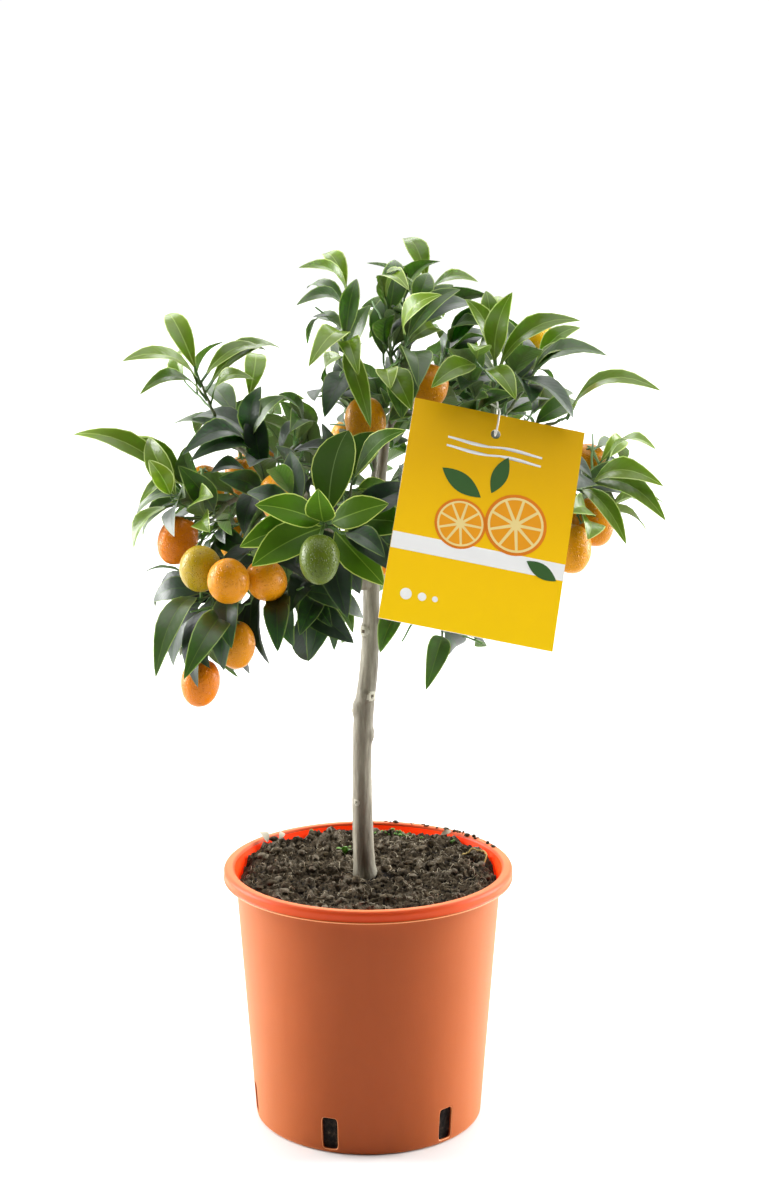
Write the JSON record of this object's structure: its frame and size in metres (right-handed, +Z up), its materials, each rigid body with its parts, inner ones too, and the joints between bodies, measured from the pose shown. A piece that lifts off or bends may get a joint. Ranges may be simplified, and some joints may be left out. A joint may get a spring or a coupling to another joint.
{
  "type": "potted kumquat tree",
  "caption": "Small standard kumquat tree in a round plastic nursery pot: a slim bare trunk, a loose crown of glossy leaves hung with small oval fruits, and a plain hanging card.",
  "frame": {"origin": "centre of the pot's flat underside, where it stands", "axes": "+Z up along the pot's axis, through the crown's top; -Y towards the front, the side on which the card hangs; +X to the right seen from there"},
  "size_m": [0.3821, 0.3357, 0.6065],
  "materials": {
    "pot_plastic": "satin orange moulded plastic",
    "soil": "damp crumbly dark peat",
    "bark": "rough grey-beige bark",
    "foliage": "glossy green leaves with glossy orange fruits",
    "card": "printed yellow sheet with a white band",
    "tie": "thin pale plastic tie"
  },
  "bodies": {
    "root": {"pot": "pot_plastic", "soil": "soil", "trunk": "bark", "bough_left": "bark", "bough_left_low": "bark", "bough_front": "bark", "bough_right": "bark", "bough_right_low": "bark", "bough_back_left": "bark", "bough_back_right": "bark", "bough_back": "bark", "foliage_upper_left": "foliage", "foliage_far_left": "foliage", "foliage_left_middle": "foliage", "foliage_lower_left": "foliage", "foliage_low_front": "foliage", "foliage_front": "foliage", "foliage_top_left": "foliage", "foliage_top_middle": "foliage", "foliage_top_right": "foliage", "foliage_right_top": "foliage", "foliage_right_upper": "foliage", "foliage_right": "foliage", "foliage_low_right": "foliage", "foliage_back_left": "foliage", "foliage_back_left_low": "foliage", "foliage_back_right": "foliage", "foliage_back_right_low": "foliage", "foliage_back": "foliage", "foliage_back_low": "foliage", "tag": "card", "tag_tie": "tie"}
  },
  "joints": []
}
